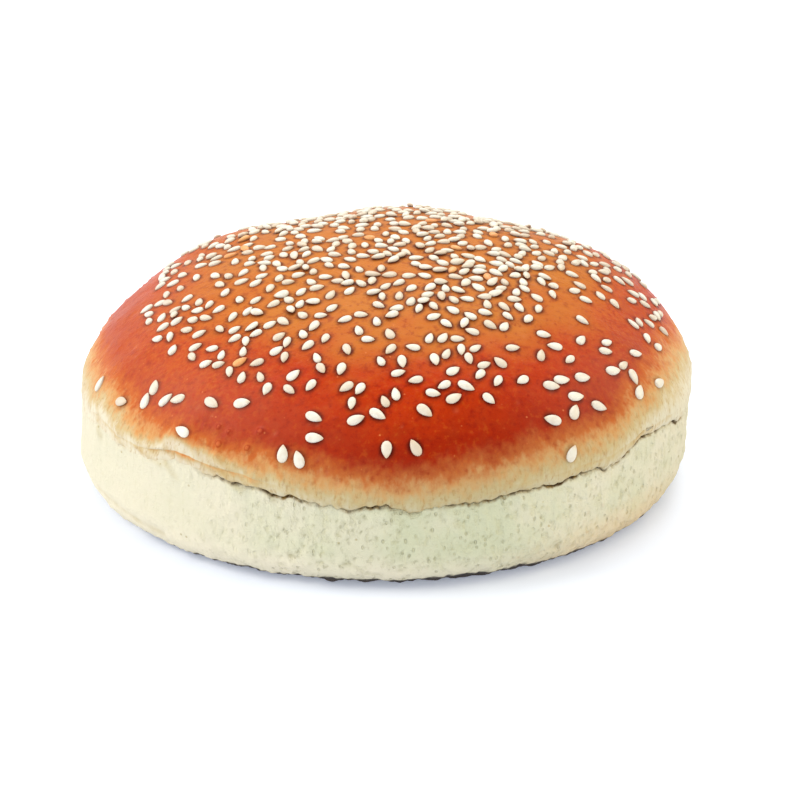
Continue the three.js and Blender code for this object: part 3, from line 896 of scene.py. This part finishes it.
def crust_finish(colours):
    """Egg-washed crust: dark red low on the front, partly painted shade, tan where it fades into the crumb, golden on
    the crown, partly painted top light.
    """
    p = Paint("egg_washed_crust")
    bake, golden, dark = p.stored("bake"), p.stored("golden"), p.stored("dark")
    mottle = p.noise(2.6, 4, 0.6) - 0.5
    streaks = p.noise(0.7, 3, 0.6, (1, 1, 2.4)) - 0.5
    level = p.clamped(bake + mottle * 0.24 + streaks * 0.4)
    stops = [(0.0, colours.crumb), (0.25, colours.straw), (0.45, colours.tan),
             (0.65, colours.orange), (0.95, colours.red)]
    p.colour = p.node("ShaderNodeValToRGB", {"stops": stops}, {"Fac": level}, "Color")
    # painted shade: greyer, darker crust over the seam on the front
    p.lay(p.stored("dusk") * 0.7, screen(160, 148, 106))
    # golden crown: partly its own colour, partly painted light on the top
    p.lay(p.clamped(golden + mottle * 0.5) * 0.85, colours.golden)
    # darker band low on the dome: partly browner crust, partly painted shade on the front
    p.lay(p.clamped(dark + mottle * 0.6 * dark) * 0.7, colours.dark)
    fine = p.noise(1.2, 4, 0.6)
    p.lay(p.step(fine, 0.5, 0.7) * 0.45 * level, colours.dark)
    p.lay(p.step(fine, 0.45, 0.3) * 0.2 * level, colours.orange)
    # dark rim round each seed: darker pooled egg wash and painted seed shadow
    p.lay(p.stored("halo") * 0.9 * level, screen(64, 4, 0))
    # painted highlight: paler pinkish patches where the side lamps shine on the crust
    p.lay(p.stored("flush") * (0.28 + mottle * 0.3), screen(168, 98, 78))
    freckles = p.step(p.cells(1.9), 0.2, 0.06) * p.step(p.noise(3.0), 0.5, 0.62)
    p.lay(freckles * 0.4 * level, colours.dark)
    pale_dots = p.step(p.cells(1.3), 0.17, 0.07) * p.step(p.noise(2.2), 0.5, 0.66)
    p.lay(pale_dots * 0.35 * level, screen(226, 140, 84))
    p.lay(p.stored("scar") * 0.16, screen(190, 140, 110))
    # painted shade round the edges of the blisters and a painted highlight on their tops
    blister = p.stored("blister")
    p.lay(p.step(blister, 0.1, 0.3) * p.step(blister, 0.7, 0.4) * 0.4, screen(130, 24, 0))
    p.lay(p.step(blister, 0.5, 0.95) * 0.35, screen(206, 104, 66))
    # painted shade beside the folds
    p.lay(p.clamped(p.stored("fold") * 0.9), screen(176, 146, 90))
    strokes = p.step(p.noise(0.5, 3, 0.6, (1, 1, 3)), 0.54, 0.68) * p.step(level, 0.62, 0.3)
    p.lay(strokes * 0.42, screen(150, 112, 56))
    # crack: olive-brown own colour, with darker spots of painted shade in the gap
    p.lay(p.stored("crack") * p.step(p.noise(0.7, 2), 0.2, 0.55), screen(140, 108, 54))
    p.lay(p.stored("crack") * p.step(p.noise(1.7, 2), 0.52, 0.62) * 0.9, screen(56, 36, 16))
    height = p.noise(0.55, 3, 0.6) * 0.6 + p.noise(2.4, 2, 0.5) * 0.4
    normal = p.bump(height, 0.13)
    rough_skin = p.clamped(0.66 - level * 0.32 + mottle * 0.16)
    return p.finish({"Specular IOR Level": 0.045, "Sheen Weight": 0.07, "Sheen Roughness": 0.35},
                    base_color=p.colour, roughness=rough_skin, normal=normal)


def side_finish(colours):
    """Matte crumb, drawn into fine vertical marks under the seam, with toasted specks at the foot."""
    p = Paint("pale_crumb")
    blotch = p.noise(9, 3, 0.55)
    grain = p.noise(0.8, 3, 0.6)
    marks = p.noise(0.55, 3, 0.6, (1, 1, 7))
    firm = 1 - p.stored("calm") * 0.75
    # greyer patches: the crumb's own blotches, and painted shade on the front
    shade = p.clamped(p.step(blotch, 0.36, 0.66) * 0.55 * firm + p.stored("dull") * 0.55)
    p.colour = p.mix(shade, colours.crumb, colours.crumb_shade)
    dimples = p.step(p.noise(1.3, 3, 0.6, (1, 1, 1.6)), 0.5, 0.7)
    p.lay(p.stored("pale") * 0.6, screen(222, 212, 188))
    # darker colour in the dimples, pits and pores, which are also dented: painted shade in these hollows
    p.lay(dimples * firm * 0.26, screen(176, 171, 128))
    p.lay(p.step(marks, 0.58, 0.74) * 0.28, screen(186, 180, 140))
    pits = p.step(p.cells(1.0, (1, 1, 1.6)), 0.3, 0.12) * p.step(p.noise(2.6), 0.4, 0.56) * firm
    p.lay(pits * 0.3, screen(152, 146, 98))
    p.lay(p.stored("pore") * 0.55, screen(150, 144, 96))
    # painted shade beside the folds and in the crease
    p.lay(p.clamped(p.stored("fold")), screen(176, 158, 104))
    specks = p.step(p.cells(2.3), 0.13, 0.05) * p.step(p.noise(6), 0.5, 0.6)
    p.lay(specks * 0.5, screen(150, 128, 72))
    toast = p.clamped(p.stored("toast") * 1.2 - grain * 0.4)
    p.lay(toast, screen(200, 164, 106))
    burnt = p.step(p.noise(1.6, 3, 0.6), 0.6, 0.72) * p.stored("toast")
    p.lay(burnt * 0.75, screen(172, 112, 52))
    # painted contact shadow along the foot
    p.lay(p.stored("rim") * 0.95, screen(46, 38, 42))
    under = p.mix(p.step(p.noise(7, 4, 0.6), 0.3, 0.7), colours.base, screen(186, 118, 60))
    p.lay(p.stored("under"), under)
    # crack: olive-brown own colour, with darker spots of painted shade in the gap
    p.lay(p.stored("crack") * p.step(p.noise(0.7, 2), 0.25, 0.6), screen(132, 104, 52))
    p.lay(p.stored("crack") * p.step(p.noise(1.7, 2), 0.52, 0.62) * 0.9, screen(56, 36, 16))
    height = grain * 0.7 + marks * 0.6 * p.stored("stretch") + p.noise(0.3, 2) * 0.3
    normal = p.bump(height - pits * 0.5 - dimples * firm * 0.4, 0.36)
    return p.finish({"Specular IOR Level": 0.2, "Roughness": 0.85}, base_color=p.colour, normal=normal)


def seed_finish(name, pale, shade, edge):
    """Smooth, slightly oily seed, a little darker at its tip."""
    p = Paint(name)
    tone, tip = p.stored("tone"), p.stored("tip")
    p.colour = p.mix(tone ** 2 * 0.8, pale, shade)
    p.lay(p.step(p.noise(0.9, 2), 0.45, 0.7) * 0.3, shade)
    p.lay(tip * 0.5, edge)
    normal = p.bump(p.noise(0.35, 2), 0.03)
    return p.finish({"Specular IOR Level": 0.4, "Roughness": 0.42}, base_color=p.colour, normal=normal)


def floor_finish():
    """Clean white board."""
    p = Paint("white_board")
    colour = p.mix(p.noise(300, 2) * 0.5, screen(212, 216, 225), screen(209, 214, 224))
    return p.finish({"Roughness": 0.8, "Specular IOR Level": 0.1, "Emission Color": (0.8, 0.86, 1.0, 1),
                     "Emission Strength": 0.3}, base_color=colour)


# Operators and panel.
class BunOperator:
    """What the operators share."""

    bl_options = {"REGISTER", "UNDO"}

    def settings(self, context):
        scene = context.scene
        return scene.bun_shape, scene.bun_seeds, scene.bun_colours, scene.bun_studio


class BUN_OT_side(BunOperator, bpy.types.Operator):
    """Build the pale side of the bun, with its base"""

    bl_idname = "bun.side"
    bl_label = "Pale Side"

    def execute(self, context):
        shape, _, colours, _ = self.settings(context)
        mesh, values = build_side(Loaf(shape), shape.relief)
        finish_piece("bun_side", mesh, values, side_finish(colours))
        return {"FINISHED"}


class BUN_OT_crust(BunOperator, bpy.types.Operator):
    """Build the browned crust over the seam"""

    bl_idname = "bun.crust"
    bl_label = "Crust"

    def execute(self, context):
        shape, seed_shape, colours, _ = self.settings(context)
        loaf = Loaf(shape)
        mesh, values = build_crust(loaf, scatter_seeds(loaf, seed_shape.count), shape.relief)
        finish_piece("bun_crust", mesh, values, crust_finish(colours))
        return {"FINISHED"}


class BUN_OT_seeds(BunOperator, bpy.types.Operator):
    """Lay the sesame seeds on the crust"""

    bl_idname = "bun.seeds"
    bl_label = "Sesame Seeds"

    def execute(self, context):
        shape, seed_shape, colours, _ = self.settings(context)
        crust = bpy.data.objects.get("bun_crust")
        if crust is None:
            raise RuntimeError("build the crust before its seeds")
        loaf = Loaf(shape)
        made = build_seeds(loaf, scatter_seeds(loaf, seed_shape.count), seed_shape, crust.data)
        finishes = (
            seed_finish("hulled_sesame", colours.seed, colours.seed_shade, screen(192, 158, 116)),
            seed_finish("toasted_sesame", colours.toasted_seed, screen(204, 118, 54), screen(176, 92, 40)),
        )
        for name, (mesh, values), finish in zip(("sesame_seeds", "toasted_seeds"), made, finishes):
            finish_piece(name, mesh, values, finish)
        return {"FINISHED"}


PIVOT_HEIGHT = 20  # of the point over the base from which the camera's distance is measured
AIM = (2.55, 0, 11.8)  # point in the middle of the picture, over the loaf before it is moved over the origin
# The lamps: place in metres, size, power and colour.
LAMPS = {
    "over_back": ((0.0, 0.8, 1.5), 1.6, 22.0, (1.0, 1.0, 1.0)),
    "left": ((-1.6, 0.0, 0.9), 1.4, 23.5, (1.0, 0.96, 0.9)),
    "right": ((1.6, 0.0, 0.9), 1.4, 16.0, (1.0, 0.84, 0.52)),
    "front": ((-0.2, -1.5, 0.5), 1.4, 9.0, (1.0, 1.0, 1.0)),
}
SKY_COLOUR, SKY_STRENGTH = (0.94, 0.97, 1.0, 1), 0.7


class BUN_OT_stage(BunOperator, bpy.types.Operator):
    """Set the white floor, the soft lights and the camera"""

    bl_idname = "bun.stage"
    bl_label = "Studio"

    def execute(self, context):
        _, _, _, studio = self.settings(context)
        scene = context.scene
        half = studio.floor_size / 2
        mesh = bpy.data.meshes.new("floor")
        mesh.from_pydata([(-half, -half, 0), (half, -half, 0), (half, half, 0), (-half, half, 0)], [], [(0, 1, 2, 3)])
        mesh.materials.append(floor_finish())
        floor = bpy.data.objects.new("floor", mesh)
        scene.collection.objects.link(floor)

        world = bpy.data.worlds.new("studio")
        scene.world = world
        world.use_nodes = True
        sky = world.node_tree.nodes["Background"].inputs
        sky["Color"].default_value = SKY_COLOUR
        sky["Strength"].default_value = SKY_STRENGTH * studio.light

        for name, (place, size, power, colour) in LAMPS.items():
            light = bpy.data.lights.new(name, "AREA")
            light.shape, light.size = "DISK", size
            light.energy, light.color = power * studio.light, colour
            lamp = bpy.data.objects.new(name, light)
            scene.collection.objects.link(lamp)
            lamp.location = place
            sight = Vector((0, 0, PIVOT_HEIGHT * MM)) - Vector(place)
            lamp.rotation_euler = sight.to_track_quat("-Z", "Y").to_euler()

        lens = bpy.data.cameras.new("camera")
        lens.sensor_width, lens.lens = 36, studio.lens
        lens.clip_start, lens.clip_end = 0.01, 50
        camera = bpy.data.objects.new("camera", lens)
        scene.collection.objects.link(camera)
        loaf_middle = Vector((-OUTLINE_MIDDLE[0] * MM, -OUTLINE_MIDDLE[1] * MM, 0))
        back = Vector((0, -math.cos(studio.elevation), math.sin(studio.elevation)))
        camera.location = loaf_middle + Vector((0, 0, PIVOT_HEIGHT * MM)) + studio.distance * back
        sight = Vector(AIM) * MM + loaf_middle - camera.location
        camera.rotation_euler = sight.to_track_quat("-Z", "Y").to_euler()
        scene.camera = camera
        scene.view_settings.view_transform = "Standard"
        return {"FINISHED"}


class BUN_PT_panel(bpy.types.Panel):
    """Sizes, colours and the steps that build the bun"""

    bl_idname = "BUN_PT_panel"
    bl_label = "Sesame Burger Bun"
    bl_space_type = "VIEW_3D"
    bl_region_type = "UI"
    bl_category = "Bun"

    def draw(self, context):
        layout = self.layout
        for group, operators in (("bun_shape", ("bun.side", "bun.crust")), ("bun_seeds", ("bun.seeds",)),
                                 ("bun_colours", ()), ("bun_studio", ("bun.stage",))):
            box = layout.box()
            values = getattr(context.scene, group)
            for name in values.__annotations__:
                box.prop(values, name)
            for operator in operators:
                box.operator(operator)


GROUPS = {"bun_shape": BunShape, "bun_seeds": SeedShape, "bun_colours": BunColours, "bun_studio": Studio}
CLASSES = (*GROUPS.values(), BUN_OT_side, BUN_OT_crust, BUN_OT_seeds, BUN_OT_stage, BUN_PT_panel)


def register():
    for made in CLASSES:
        bpy.utils.register_class(made)
    for name, group in GROUPS.items():
        setattr(bpy.types.Scene, name, bpy.props.PointerProperty(type=group))


def unregister():
    for name in GROUPS:
        delattr(bpy.types.Scene, name)
    for made in reversed(CLASSES):
        bpy.utils.unregister_class(made)


def main():
    register()
    bpy.ops.bun.side()
    bpy.ops.bun.crust()
    bpy.ops.bun.seeds()
    bpy.ops.bun.stage()


if __name__ == "__main__":
    main()
